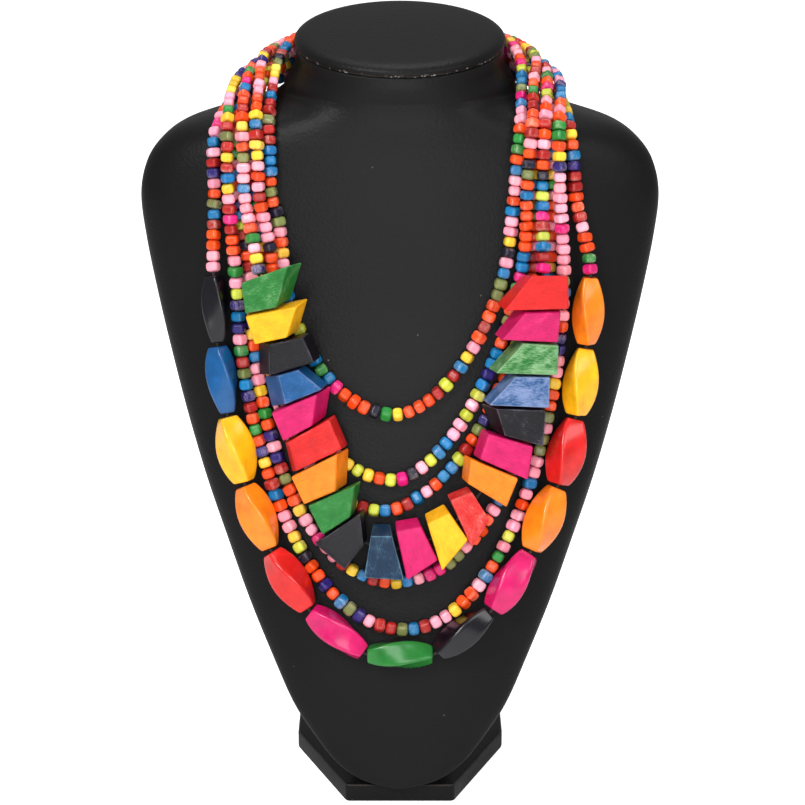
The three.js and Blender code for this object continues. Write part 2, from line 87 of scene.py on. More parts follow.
# The skin of a rounded block: each point of a lattice on a box's six faces is drawn in to
# the box shrunk by the rounding, then set out from it by the rounding along that same line
def roundedBlock(half, rounding, flatSteps, roundSteps):
    inner = np.asarray(half, float) - rounding
    turn = rounding * np.tan(np.linspace(0, math.pi / 4, roundSteps + 1)[1:])
    lines = [np.concatenate([-size - turn[::-1], np.linspace(-size, size, flatSteps + 1), size + turn])
             for size in inner]
    count = len(lines[0])
    u, v = np.meshgrid(np.arange(count), np.arange(count), indexing="ij")
    quads = []
    for axis in range(3):
        for side in (0, count - 1):
            grid = np.zeros((count, count, 3), int)
            grid[..., axis] = side
            grid[..., (axis + 1) % 3] = u
            grid[..., (axis + 2) % 3] = v
            key = (grid[..., 0] * count + grid[..., 1]) * count + grid[..., 2]
            face = np.stack([key[:-1, :-1], key[1:, :-1], key[1:, 1:], key[:-1, 1:]], -1)
            face = face.reshape(-1, 4)
            quads.append(face if side else face[:, ::-1])
    keys, quads = np.unique(np.vstack(quads), return_inverse=True)
    index = np.stack([keys // count ** 2, keys // count % count, keys % count], -1)
    points = np.stack([lines[axis][index[:, axis]] for axis in range(3)], -1)
    kept = np.clip(points, -inner, inner)
    normals = unit(points - kept)
    mostDrop = 0.29   # how far below one a normal's largest part falls, in the middle of an edge
    edge = np.clip((1 - np.abs(normals).max(-1)) / mostDrop, 0, 1)   # 0 on a flat, 1 on an edge
    return kept + rounding * normals, normals, quads.reshape(-1, 4), edge


attributeKinds = {1: ("FLOAT", "value"), 3: ("FLOAT_VECTOR", "vector"), 4: ("FLOAT_COLOR", "color")}


# One mesh object from millimetre points, riding on the frame; the attributes are one value,
# vector or colour for each point
def makePiece(name, points, faces, material, standsFor=(), attributes=None, normals=None):
    mesh = bpy.data.meshes.new(name)
    shapes = [face for group in faces for face in np.asarray(group).tolist()]
    mesh.from_pydata((np.asarray(points) * mm).tolist(), [], shapes)
    mesh.polygons.foreach_set("use_smooth", np.ones(len(mesh.polygons), bool))
    for key, values in (attributes or {}).items():
        values = np.asarray(values, np.float32)
        width = 1 if values.ndim == 1 else values.shape[-1]
        kind, field = attributeKinds[width]
        mesh.attributes.new(key, kind, "POINT").data.foreach_set(field, values.ravel())
    mesh.update()
    if normals is not None:
        mesh.normals_split_custom_set_from_vertices(np.asarray(normals).tolist())
    mesh.materials.append(material)
    piece = bpy.data.objects.new(name, mesh)
    bpy.context.scene.collection.objects.link(piece)
    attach(piece, "root")
    if standsFor:
        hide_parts(*standsFor)
    return piece


bustForm = {
    "frontPower": 2.2,    # squareness of a level section's front half
    "backPower": 2.5,     # and of its back half
    "neckTilt": 13.5,     # degrees the neck's top leans forward
    "neckTop": 320.4,
    "neckMiddle": 17.6,
    "neckFoot": 300,      # above this the sections follow the slanting top
    "around": 208,
    "stepsPerRow": 11,
    "seamAngle": 4,       # degrees to each side of the widest line that the side seam takes
    "seamTop": 290,       # and the height where it ends, fading over the last seamFade
    "seamFade": 20,
}
post = {
    "halfWidth": 23, "front": -40, "back": 12, "foot": 8.9, "top": 150,
    "rounding": 2, "flatSteps": 10, "roundSteps": 4,
}

# height, half width, depth where it is widest, front and back
bustRows = np.array([
    [9, 2, -73.6, -75, -71], [11, 13, -72.6, -74.7, -66], [14, 20.5, -71, -74, -60],
    [20, 29, -67.5, -72.5, -53], [30, 38, -62, -70.3, -46], [43, 47, -57, -67.5, -39],
    [62, 56, -50, -63.5, -31], [86, 66.5, -41, -57.5, -22], [111, 76, -32, -51.5, -13],
    [136, 85, -24, -45.5, -4], [162, 93, -16, -39.5, 5], [187, 99.5, -10, -34, 14],
    [213, 105.5, -5, -29, 24], [239, 110.5, -1, -25.5, 36], [258, 112.5, 2, -23.5, 46],
    [272, 109.5, 5, -22, 52], [281, 103, 7, -20.8, 55], [287, 94, 10, -19.8, 57],
    [291.5, 79, 13, -19.3, 59], [295.5, 64, 17, -19.3, 58.8], [300, 52.8, 18, -19.6, 57.8],
    [309, 49.4, 18, -20.3, 57.4], [322, 45.4, 18, -21, 57.4], [336, 45, 18, -21, 57.4],
])
sectionTable = smoothRows(bustRows, np.linspace(0, len(bustRows) - 1, 1201))


def sectionAt(height):
    return [np.interp(height, sectionTable[:, 0], sectionTable[:, k]) for k in range(1, 5)]


# A section's outline: half width times sine and depth times cosine, each to 2 over the
# squareness, with the angle counted from the middle of the back
def outline(section, angle):
    halfWidth, rim, front, back = section
    sine, cosine = np.sin(angle), np.cos(angle)
    power = 2 / np.where(cosine >= 0, bustForm["backPower"], bustForm["frontPower"])
    depth = np.where(cosine >= 0, back - rim, rim - front)
    return halfWidth * signedPower(sine, power), rim + depth * signedPower(cosine, power)


def frontY(x, z):
    halfWidth, rim, front, _ = sectionAt(z)
    power = bustForm["frontPower"]
    across = np.minimum(np.abs(x) / halfWidth, 1)
    return rim - (rim - front) * (1 - across ** power) ** (1 / power)


# The way out from the chest, from its slopes measured a short reach to each side
def chestNormal(x, z):
    reach = 0.2
    slopeX = (frontY(x + reach, z) - frontY(x - reach, z)) / (2 * reach)
    slopeZ = (frontY(x, z + reach) - frontY(x, z - reach)) / (2 * reach)
    return unit(np.stack([slopeX, -np.ones_like(slopeX), slopeZ], -1))


def offChest(x, z, distance):
    x, z = np.float64(x), np.float64(z)
    return np.stack([x, frontY(x, z), z], -1) + chestNormal(x, z) * distance


# A point off the neck, along the normal of its outline there
def offNeck(angle, height, distance):
    section = sectionAt(height)
    step = math.radians(1)
    ahead = np.array(outline(section, angle + step))
    behind = np.array(outline(section, angle - step))
    along = ahead - behind
    outward = unit(np.array([-along[1], along[0]]))
    x, y = np.array(outline(section, angle)) + outward * distance
    return np.array([x, y, height])


lift = {"low": 3.8, "fan": 5.7, "back": 6.2}   # how far a thread stands off the bust
# Behind the neck: degrees from the middle of the back, the top strand's height, and how far
# each strand lies below the one before it
napeStations = [(8, 321.3, 2.6), (28, 320.8, 2.6), (46, 320, 2.6), (61, 318.8, 2.6), (75, 317.4, 2.6)]
collar = {"low": 284, "high": 300}           # where the chest turns into the neck
clasp = {"halfWidth": 6, "gap": 0.4}
# The innermost and the outermost strand beside the neck (x, y, z) and down the chest (x, z)
collarStations = {
    "left": [([53, 12, 311.6], [65, 19, 301.6]), ([54.8, -7, 300.5], [73, 1.5, 296.4])],
    "right": [([52.4, 12, 311.6], [64, 19, 301.6]), ([51.6, -7, 300.5], [69.8, 2, 297.4])],
}
chestStations = {
    "left": [([55, 289], [78, 284]), ([54.5, 276], [78.8, 271]), ([54, 262], [78.8, 257])],
    "right": [([50.5, 289], [71.8, 285]), ([49, 276], [73.8, 272]), ([48, 262], [75.2, 258])],
}
ovalSteps, settleSteps, spanSteps = 7, 3, 60   # points in a half oval, the lift's, measured pieces

# name; share of the way out down the top of the chest; lowest point; lift off the bust at
# the widest height and at the lowest point; and half an oval on each side as (half width,
# height where it is widest, roundness)
strandRows = [
    ("a", 0, (-2, 169.3), 0, 0, (48.7, 248, 2), (49, 250, 1.7)),
    ("b", 0.16, (-2, 141.8), 5.6, 0, (51.5, 237, 2.1), (54.3, 245, 1.62)),
    ("c", 0.27, (-7, 128.8), 0, 0, (50.8, 228, 2.2), (63.2, 236, 1.7)),
    ("d", 0.4, (-3, 113.5), 14.5, 9.9, (54, 230, 2), (61, 230, 2)),
    ("e", 0.6, (-2, 98.8), 0, 0, (61.7, 230, 2.1), (65, 226, 2)),
    ("f", 0.67, (2, 78.6), 5.2, 0, (70.3, 228, 2), (66.2, 228, 2)),
    ("g", 0.97, (0, 66.4), 5.4, 5.4, (77.5, 230, 2), (79, 230, 2)),
]
strandColumns = ("fan", "bottom", "liftTop", "liftLow", "left", "right")
strands = {name: dict(zip(strandColumns, row)) for name, *row in strandRows}


# One side of a strand from the clasp to just short of its lowest point: round the neck,
# over the collar, down the top of the chest and into its half oval
def sideOf(strand, lane, sideName):
    side = -1 if sideName == "left" else 1
    share, raised = lane / (len(strands) - 1), lane % 2
    points = [offNeck(math.radians(degrees), top - step * lane, lift["low"] + lift["back"] * raised)
              for degrees, top, step in napeStations]
    points[0][0] = clasp["halfWidth"] + clasp["gap"]
    stations = np.array(collarStations[sideName], float)
    path = stations[1].sum(0) - stations[0].sum(0)
    for inner, outer in stations:
        upward = unit(np.cross(path, outer - inner))
        points.append(inner + (outer - inner) * share + upward * lift["back"] * raised)
    points = [point * [side, 1, 1] for point in points]
    for inner, outer in np.array(chestStations[sideName], float):
        x, z = inner + (outer - inner) * strand["fan"]
        points.append(offChest(side * x, z, lift["low"] + lift["fan"] * raised))
    reach, widest, full = strand[sideName]
    bottomX, bottomZ = strand["bottom"]
    for i in range(ovalSteps):
        angle = i / ovalSteps * math.pi / 2
        x = bottomX + side * reach * math.cos(angle) ** (2 / full)
        z = widest - (widest - bottomZ) * math.sin(angle) ** (2 / full)
        settled = max(0, 1 - i / settleSteps)
        extra = strand["liftLow"] + (strand["liftTop"] - strand["liftLow"]) * settled
        points.append(offChest(x, z, lift["low"] + extra))
    return points


# The whole thread as a dense line with its length so far at each point
def threadOf(strand, lane):
    left, right = sideOf(strand, lane, "left"), sideOf(strand, lane, "right")
    lowest = offChest(*strand["bottom"], lift["low"] + strand["liftLow"])
    points = np.array(left + [lowest] + right[::-1])
    line = smoothRows(points, np.linspace(0, len(points) - 1, (len(points) - 1) * spanSteps + 1))
    lengths = np.concatenate([[0], np.cumsum(np.linalg.norm(np.diff(line, axis=0), axis=1))])
    bottom = lengths[len(left) * spanSteps]
    return {"line": line, "lengths": lengths, "length": lengths[-1], "bottom": bottom}


def pointOn(thread, distance):
    lengths, line = thread["lengths"], thread["line"]
    return np.stack([np.interp(distance, lengths, line[:, k]) for k in range(3)], -1)


# Places along a thread: the point, its direction, the way out from the bust, and across
def framesOn(thread, distance):
    distance = np.asarray(distance, float)
    near = 0.6   # the direction is taken between points this far before and after
    point = pointOn(thread, distance)
    along = unit(pointOn(thread, distance + near) - pointOn(thread, distance - near))
    x, y, z = point[..., 0], point[..., 1], point[..., 2]
    away = unit(np.stack([x, y - bustForm["neckMiddle"], 0 * x], -1))
    chest = chestNormal(x, np.minimum(z, collar["low"]))
    share = np.clip((z - collar["low"]) / (collar["high"] - collar["low"]), 0, 1)
    outward = chest + (away - chest) * share[..., None]
    outward = unit(outward - along * (outward * along).sum(-1, keepdims=True))
    return point, along, outward, np.cross(outward, along)


threads = {name: threadOf(strand, lane) for lane, (name, strand) in enumerate(strands.items())}
print("strands routed:", {name: round(thread["length"]) for name, thread in threads.items()})


def addNode(tree, kind, inputs=None, **settings):
    node = tree.nodes.new(kind)
    for key, value in settings.items():
        setattr(node, key, value)
    for key, value in (inputs or {}).items():
        if isinstance(value, bpy.types.NodeSocket):
            tree.links.new(value, node.inputs[key])
        else:
            node.inputs[key].default_value = value
    return node


def calc(tree, operation, *values, clamp=False):
    inputs = dict(enumerate(values))
    return addNode(tree, "ShaderNodeMath", inputs, operation=operation, use_clamp=clamp).outputs[0]


# The share of the way that a value has gone from low to high, eased at both ends
def ramp(tree, value, low, high):
    inputs = {"Value": value, "From Min": low, "From Max": high}
    return addNode(tree, "ShaderNodeMapRange", inputs, interpolation_type="SMOOTHSTEP").outputs["Result"]


def blend(tree, share, first, second, mode="MIX"):
    inputs = {0: share, 6: first, 7: second}
    return addNode(tree, "ShaderNodeMix", inputs, data_type="RGBA", blend_type=mode).outputs[2]


def noise(tree, vector, scale, detail=4.0, roughness=0.55, distortion=0.0):
    inputs = {"Vector": vector, "Scale": scale, "Detail": detail, "Roughness": roughness,
              "Distortion": distortion}
    return addNode(tree, "ShaderNodeTexNoise", inputs).outputs["Fac"]


def stretched(tree, vector, scale):
    return addNode(tree, "ShaderNodeMapping", {"Vector": vector, "Scale": scale}).outputs["Vector"]


def newGroup(name, inputs, outputs):
    group = bpy.data.node_groups.new(name, "ShaderNodeTree")
    for key, (kind, value) in inputs.items():
        socket = group.interface.new_socket(key, in_out="INPUT", socket_type=kind)
        if value is not None:
            socket.default_value = value
    for key, kind in outputs.items():
        group.interface.new_socket(key, in_out="OUTPUT", socket_type=kind)
    return group, group.nodes.new("NodeGroupInput").outputs, group.nodes.new("NodeGroupOutput")


def newMaterial(name):
    material = bpy.data.materials.new(name)
    material.use_nodes = True
    tree = material.node_tree
    tree.nodes.clear()
    shader = tree.nodes.new("ShaderNodeBsdfPrincipled")
    output = tree.nodes.new("ShaderNodeOutputMaterial")
    tree.links.new(shader.outputs[0], output.inputs[0])
    return material, tree, shader


def attribute(tree, name, output):
    return addNode(tree, "ShaderNodeAttribute", attribute_name=name).outputs[output]


def bump(tree, height, strength, distance):
    inputs = {"Height": height, "Strength": strength, "Distance": distance}
    return addNode(tree, "ShaderNodeBump", inputs).outputs["Normal"]


def asColour(hexCode):
    channels = [(hexCode >> shift & 255) / 255 for shift in (16, 8, 0)]
    return [c / 12.92 if c <= 0.04045 else ((c + 0.055) / 1.055) ** 2.4 for c in channels] + [1.0]


# The noises are stretched along the bead's own axes; the ramps go from the first value to
# the second
grain = {
    "fibres": (0.22, 2.4, 2.4), "fine": (0.7, 6.5, 6.5), "scratches": (0.5, 4.5, 4.5),
    "blotches": 0.16, "blotchShade": 0.8, "blotchScratch": 0.55,
    "pores": (0.6, 0.72), "poreFibres": (0.46, 0.6), "poreShade": 0.35, "poreDepth": 0.9,
    "wear": (0.68, 0.92), "ownWear": 0.36, "leastWorn": 0.4, "wearGain": 0.55,
    "uneven": 0.22, "wornRough": 0.22, "wornDepth": 0.3,
    "spread": 300,        # each bead's grain is read from its own place, this far about in mm
}
woodFinish = {"relief": 0.6, "coatRoughness": 0.18}


# Fibres are noise drawn out along the first axis of the bead's own millimetres, blotches a
# slow noise, pores the darkest short streaks. Wear is high where the edge mask times the
# rubbing, the bead's own wear and a scratchy noise add up past a limit, and shows the worn
# colour. On the barrel beads the edge mask is a thin line along each corner, so there the
# pale colour is partly rubbed wear and partly a painted highlight along the ridge.
def buildDyedWood():
    group, given, result = newGroup("dyedWood", {
        "Vector": ("NodeSocketVector", None),
        "Dye": ("NodeSocketColor", (0.8, 0.2, 0.1, 1)),
        "Worn": ("NodeSocketColor", (0.8, 0.6, 0.5, 1)),
        "Wear": ("NodeSocketFloat", 0.2),
        "Edge": ("NodeSocketFloat", 0.0),
        "Rubbing": ("NodeSocketFloat", 0.1),
        "Fibre": ("NodeSocketFloat", 0.5),
        "Gloss": ("NodeSocketFloat", 0.4),
    }, {"Colour": "NodeSocketColor", "Roughness": "NodeSocketFloat", "Height": "NodeSocketFloat"})
    tree, vector = group, given["Vector"]
    fibres = noise(tree, stretched(tree, vector, grain["fibres"]), 1.0, 7, 0.62, 0.3)
    fine = noise(tree, stretched(tree, vector, grain["fine"]), 1.0, 3, 0.6)
    blotch = noise(tree, vector, grain["blotches"], 3, 0.55)
    scratch = noise(tree, stretched(tree, vector, grain["scratches"]), 1.0, 8, 0.7, 0.3)
    offBlotch = calc(tree, "SUBTRACT", blotch, 0.5)
    scratch = calc(tree, "MULTIPLY_ADD", offBlotch, grain["blotchScratch"], scratch)
    pores = calc(tree, "MULTIPLY", ramp(tree, fine, *grain["pores"]),
                 ramp(tree, fibres, *grain["poreFibres"]))
    fibreTone = calc(tree, "MULTIPLY", calc(tree, "SUBTRACT", fibres, 0.5), given["Fibre"])
    tone = calc(tree, "ADD", fibreTone, calc(tree, "MULTIPLY", offBlotch, grain["blotchShade"]))
    level = calc(tree, "ADD", tone, 1.0)
    toned = addNode(tree, "ShaderNodeVectorMath", {0: given["Dye"]}, operation="SCALE")
    tree.links.new(level, toned.inputs["Scale"])
    darker = {0: toned.outputs[0], "Scale": grain["poreShade"]}
    dark = addNode(tree, "ShaderNodeVectorMath", darker, operation="SCALE")
    poreShare = calc(tree, "MULTIPLY", pores, given["Fibre"], clamp=True)
    grained = blend(tree, poreShare, toned.outputs[0], dark.outputs[0])
    rubbed = calc(tree, "ADD", calc(tree, "MULTIPLY", given["Edge"], given["Rubbing"]),
                  calc(tree, "MULTIPLY", given["Wear"], grain["ownWear"]))
    wear = ramp(tree, calc(tree, "ADD", rubbed, scratch), *grain["wear"])
    most = calc(tree, "MULTIPLY_ADD", given["Wear"], grain["wearGain"], grain["leastWorn"])
    # share of the worn colour: real wear, and on the barrels' corners also a painted highlight
    wearAndHighlightShare = calc(tree, "MULTIPLY", wear, most, clamp=True)
    colour = blend(tree, wearAndHighlightShare, grained, given["Worn"])
    uneven = calc(tree, "MULTIPLY", calc(tree, "SUBTRACT", fine, 0.5), grain["uneven"])
    roughness = calc(tree, "ADD", given["Gloss"], uneven)
    wornRough = calc(tree, "MULTIPLY", wearAndHighlightShare, grain["wornRough"])
    roughness = calc(tree, "ADD", roughness, wornRough, clamp=True)
    height = calc(tree, "MULTIPLY", fibres, given["Fibre"])
    height = calc(tree, "SUBTRACT", height, calc(tree, "MULTIPLY", poreShare, grain["poreDepth"]))
    height = calc(tree, "SUBTRACT", height, calc(tree, "MULTIPLY", wearAndHighlightShare, grain["wornDepth"]))
    for key, value in (("Colour", colour), ("Roughness", roughness), ("Height", height)):
        tree.links.new(value, result.inputs[key])
    return group


dyedWood = buildDyedWood()


def woodMaterial(name, dye, worn, look):
    material, tree, shader = newMaterial(name)
    wood = tree.nodes.new("ShaderNodeGroup")
    wood.node_tree = dyedWood
    tree.links.new(attribute(tree, "local", "Vector"), wood.inputs["Vector"])
    tree.links.new(attribute(tree, "edge", "Fac"), wood.inputs["Edge"])
    tree.links.new(attribute(tree, "wear", "Fac"), wood.inputs["Wear"])
    if dye is None:
        tree.links.new(attribute(tree, "dye", "Color"), wood.inputs["Dye"])
        tree.links.new(attribute(tree, "worn", "Color"), wood.inputs["Worn"])
    else:
        wood.inputs["Dye"].default_value = asColour(dye)
        wood.inputs["Worn"].default_value = asColour(worn)
    wood.inputs["Gloss"].default_value = look["gloss"]
    wood.inputs["Fibre"].default_value = look["fibre"]
    wood.inputs["Rubbing"].default_value = look["rubbing"]
    tree.links.new(wood.outputs["Colour"], shader.inputs["Base Color"])
    tree.links.new(wood.outputs["Roughness"], shader.inputs["Roughness"])
    relief = bump(tree, wood.outputs["Height"], woodFinish["relief"], look["relief"])
    tree.links.new(relief, shader.inputs["Normal"])
    shader.inputs["Specular IOR Level"].default_value = look["specular"]
    shader.inputs["Coat Weight"].default_value = look["coat"]
    shader.inputs["Coat Roughness"].default_value = woodFinish["coatRoughness"]
    return material


cubeBead = {
    "pitch": 4.95,
    "fanPitch": 4.35,     # over the shoulders and behind the neck the beads are shorter
    "fanFrom": 215,       # between these two heights the one pitch turns into the other
    "fanFull": 250,
    "width": 5.5,
    "tucked": 0.8,        # this much as wide where the bundles are crowded, above tuckedFrom
    "tuckedFrom": 296,
    "lengthShare": 0.965,   # of the pitch
    "longest": 1.02,      # and none is stretched past this
    "rounding": 1.6,
    "sizeVaries": 0.09,
    "flatShare": 0.35,    # this share of the beads lie nearly flat, the rest at any turn
    "flatTurn": 10,       # degrees
    "tilt": 4,
    "shadeVaries": 0.16,
    "hueVaries": 0.05,
    "wornPale": 0.55,     # how far the dye goes to the pale wood where it is worn
    "wear": (0.05, 0.55),
    "runGap": 0.3,        # between a run's end and the big beads' places
    "seed": 7,
}

# dye and how often it turns up where the order can't be seen
beadDyes = {
    "p": (0xfd9db0, 0.24), "o": (0xf04a14, 0.24), "b": (0x0d6fa8, 0.12), "r": (0xa51f1c, 0.09),
    "y": (0xf6c534, 0.1), "l": (0xc2c83c, 0.07), "v": (0x737a44, 0.06), "g": (0x228433, 0.06),
    "n": (0x281d68, 0.06), "m": (0xe01d76, 0.05), "k": (0x1c1a2c, 0.03),
}
paleWorn = asColour(0xf3e3d2)

# The order of the colours down each side of a strand to its lowest bead, and up the other
# side from it. A dot is a bead that another strand hides.
beadOrders = {
    "a": (
        "yprbrrvrrbbbovokvpoyp..........bmoookg",
        "yooorlrbyporoovvbpkyppboppboggoppbmvbblm",
    ),
    "b": (
        "yypoproppp" "kooppboob............ylyol",
        "mkplbbpplplbnbbobvoogmbbooooobovkoproorrgo",
    ),
    "c": (
        "gopbyovy.....ovy.............yrl",
        "borbpobblrovnooo.........orrpoovvpbyopo",
    ),
    "d": ("vppbpppogpyn", "mrblrmblbkorporpoplmogpr"),
    "e": (
        "lrkorpp.....bppyogonpnrvooyppm...ybro",
        "ybpmmvvpooop............popoovvpbyopop",
    ),
    "f": (
        "ybbppnnyyyppgyrvryrbyprm....gplnbnpgrvbnrogonyorboppylkoonobvnprrv",
        "brppyoopbogplppopbppvvpvooyppnnoppbvpp...........ggopobbnpbpbmvp",
    ),
    "g": ("opngopmpbprnpovbroopp", "mgooproorrnboyrbylyb"),
}

cubeLength = cubeBead["pitch"] * cubeBead["lengthShare"]
halfCube = np.array([cubeLength, cubeBead["width"], cubeBead["width"]]) / 2
cubeSkin = roundedBlock(halfCube, cubeBead["rounding"], 1, 1)


# The letters for every bead of a run: the first order is read backwards from the run's
# anchor towards its start, the second forwards to its end, and dots are drawn by lot
def spelledOrder(count, anchor, before, after, rng):
    letters = ["."] * count
    for i, letter in enumerate(reversed(before)):
        if 0 <= anchor - 1 - i < count:
            letters[anchor - 1 - i] = letter
    for i, letter in enumerate(after):
        if 0 <= anchor + i < count:
            letters[anchor + i] = letter
    names = list(beadDyes)
    odds = np.array([beadDyes[name][1] for name in names])
    drawn = rng.choice(len(names), count, p=odds / odds.sum())
    return np.array([drawn[i] if letter == "." else names.index(letter)
                     for i, letter in enumerate(letters)])


# Where a run's beads meet: one over the pitch, which follows the thread's height, is summed
# along the run and cut into a whole number of equal parts
def beadEnds(thread, start, end):
    steps = 400   # short pieces that the sum is taken over
    cuts = np.linspace(start, end, steps + 1)
    height = pointOn(thread, (cuts[1:] + cuts[:-1]) / 2)[:, 2]
    fan = cubeBead["fanFull"] - cubeBead["fanFrom"]
    share = np.clip((height - cubeBead["fanFrom"]) / fan, 0, 1)
    share = share ** 2 * (3 - 2 * share)
    pitch = cubeBead["pitch"] + (cubeBead["fanPitch"] - cubeBead["pitch"]) * share
    counted = np.concatenate([[0], np.cumsum(np.diff(cuts) / pitch)])
    count = round(counted[-1])
    return np.interp(np.linspace(0, counted[-1], count + 1), counted, cuts)


# A run of beads: the same rounded cube, turned about the thread, tilted a little and scaled,
# then carried to each bead's place by its frame
def cubeRun(thread, start, end, anchorDistance, before, after, rng):
    ends = beadEnds(thread, start, end)
    count = len(ends) - 1
    anchor = int(np.argmin(np.abs(ends - anchorDistance)))
    order = spelledOrder(count, anchor, before, after, rng)
    point, along, outward, across = framesOn(thread, (ends[1:] + ends[:-1]) / 2)
    flat = rng.random(count) < cubeBead["flatShare"]
    turn = np.where(flat, rng.normal(0, math.radians(cubeBead["flatTurn"]), count),
                    rng.uniform(-math.pi / 4, math.pi / 4, count))
    first = across * np.cos(turn)[:, None] + outward * np.sin(turn)[:, None]
    leanA, leanB = np.radians(rng.normal(0, cubeBead["tilt"], (2, count)))
    axis = unit(along + first * leanA[:, None] + np.cross(along, first) * leanB[:, None])
    first = unit(first - axis * (first * axis).sum(-1, keepdims=True))
    second = np.cross(axis, first)
    skin, skinNormals, quads, edge = cubeSkin
    size = 1 + cubeBead["sizeVaries"] * rng.uniform(-1, 1, (count, 1, 3))
    size = np.broadcast_to(size, (count, 1, 3)).copy()
    size[:, 0, 0] = np.minimum(size[:, 0, 0], cubeBead["longest"]) * np.diff(ends) / cubeBead["pitch"]
    size[:, 0, 1:] *= np.where(point[:, 2] > cubeBead["tuckedFrom"], cubeBead["tucked"], 1)[:, None]
    local = skin[None] * size
    base = np.stack([axis, first, second], 1)
    points = point[:, None] + np.einsum("bvk,bkc->bvc", local, base)
    normals = unit(np.einsum("bvk,bkc->bvc", skinNormals[None] / size, base))
    corners = len(skin)
    faces = quads[None] + (np.arange(count) * corners)[:, None, None]
    hues = np.array([asColour(code)[:3] for code, _ in beadDyes.values()])[order]
    hues = hues * (1 + cubeBead["shadeVaries"] * rng.uniform(-1, 1, (count, 1)))
    hues = hues * (1 + cubeBead["hueVaries"] * rng.uniform(-1, 1, (count, 3)))
    hues = np.clip(hues, 0.003, 0.95)   # never quite black or white
    worn = hues * (1 - cubeBead["wornPale"]) + np.array(paleWorn[:3]) * cubeBead["wornPale"]
    spread = rng.uniform(0, grain["spread"], (count, 1, 3))
    solid = np.ones((count, 1))
    return {
        "points": points.reshape(-1, 3),
        "normals": normals.reshape(-1, 3),
        "faces": faces.reshape(-1, 4),
        "attributes": {
            "local": (local + spread).reshape(-1, 3),
            "dye": np.repeat(np.hstack([hues, solid]), corners, 0),
            "worn": np.repeat(np.hstack([worn, solid]), corners, 0),
            "edge": np.tile(edge, count),
            "wear": np.repeat(rng.uniform(*cubeBead["wear"], count), corners),
        },
    }


wedge = {
    "count": 20, "pitch": 14.3, "depth": 12.4, "gap": 0.5,
    "slide": 2.5,         # how far the row's middle lies past the strand's lowest point
    "rounding": 0.85, "flatSteps": 12, "roundSteps": 4, "seed": 21,
}
barrel = {
    "count": 13, "pitch": 30.7,
    "gap": 2,             # between two beads' ends
    "endShare": 0.52,     # an end's width, as a share of the widest
    "rimShare": 0.95,     # its flat face's width, as a share of the end's
    "endInset": 0.012,    # the share of the length that turns into the flat end
    "hole": 2.2, "holeDepth": 0.05,
    "fullness": 0.75,     # the lower, the fuller towards the ends
    "power": 8.5,         # squareness of a section
    "cornerWeight": 0.6,  # how far the width is taken over the corners and not the flats
    "ridge": 6,           # the higher, the thinner the pale line along a corner: partly rubbed wear, partly a painted highlight
    "twist": 52,          # degrees from end to end
    "wear": 0.08, "rows": 56, "around": 96, "seed": 5,
}

cubeLook = {"gloss": 0.3, "fibre": 0.5, "coat": 0.3, "specular": 0.25, "relief": 0.0002,
            "rubbing": 0.05}
smallWood = woodMaterial("dyedCubeWood", None, None, cubeLook)


# The stretches of small beads on a strand: the whole of it, or both sides of its big beads,
# as (start, end, distance where the colour orders meet)
def smallRuns(name, thread):
    big = {"d": wedge, "g": barrel}.get(name)
    if big is None:
        return {"": (0, thread["length"], thread["bottom"])}
    middle = thread["bottom"] + big.get("slide", 0)
    half = big["count"] * big["pitch"] / 2 + cubeBead["runGap"]
    return {
        "_left": (0, middle - half, middle - half),
        "_right": (middle + half, thread["length"], middle + half),
    }


def makeStrands():
    for lane, (name, thread) in enumerate(threads.items()):
        rng = np.random.default_rng(cubeBead["seed"] + lane)
        before, after = beadOrders[name]
        for suffix, (start, end, anchor) in smallRuns(name, thread).items():
            run = cubeRun(thread, start, end, anchor, before, after, rng)
            makePiece(f"cubes_{name}{suffix}", run["points"], [run["faces"]], smallWood,
                      [f"strand_{name}{suffix}"], run["attributes"], run["normals"])


makeStrands()
print("small beads strung")


# colour; then for the face met first and the face met last along the thread: its distance,
# reach inwards, reach outwards and slant; how much further the back goes in and out; wear
wedgeRows = [
    ("green", (6.8, 14, 7, 13), (6.8, 7.5, 6, 12), 4.5, 1, 0.5),
    ("yellow", (6.8, 16.5, 6, 12), (6.8, 11, 3, 6), 3, 1, 0.1),
    ("black", (6.8, 18, -3, 6), (6.8, 21, -1, 6), 1, 7, 0.12),
    ("blue", (6.8, 13.5, -5, 6), (6.8, 22, -5, 8), 1, 9, 0.35),
    ("magenta", (6.8, 19, 2, 8), (6.8, 13, 1, 9), 5, 1, 0.25),
    ("red", (6.8, 21, -1, 9), (6.8, 21, 1, 1), 1, 4, 0.3),
    ("orange", (6.8, 18, 4, 1), (6.8, 9.5, 5, -10), 4, 1, 0.15),
    ("green", (6.8, 18, 4, -10), (6.8, 7, 7, -12), 1.5, 1, 0.4),
    ("black", (6.8, 11, 12, -12), (6.6, 0, 13, -12), 1.5, 2, 0.2),
    ("navy", (5.8, 5, 13, 12), (6.6, 7, 12.5, 12), 4, 1, 0.4),
    ("magenta", (6.5, 9, 12.5, 6), (6.6, 8, 8, 0), 3, 1, 0.1),
    ("yellow", (6.5, 8, 13, -11), (6.6, 6, 8, -8), 3, 1, 0.15),
    ("red", (6.6, 10, 12, -19), (5.2, 5, 9, -20), 1.5, 1, 0.55),
    ("orange", (5.2, 8.5, 11, 3), (6.8, 13, 9, 5), 1.5, 2, 0.2),
    ("magenta", (6.8, 9.5, 13, 4), (6.8, 11, 9, 5), 1.5, 1, 0.2),
    ("black", (6.8, 4, 13, 5), (6.8, 12, 9, 14), 5, 1, 0.3),
    ("blue", (6.8, 15.5, 10, 13), (6.8, 7.5, 7, 10), 1.5, 2, 0.85),
    ("green", (6.8, 16.5, 10, 9), (6.8, 7, 8, 4), 1.5, 1, 0.8),
    ("magenta", (6.8, 16.5, 7.5, 4), (6.8, 8, 7, 3), 1.5, 2, 0.3),
    ("red", (6.8, 17, 10.5, 3), (6.8, 6, 9.5, 1), 1.5, 1, 0.1),
]

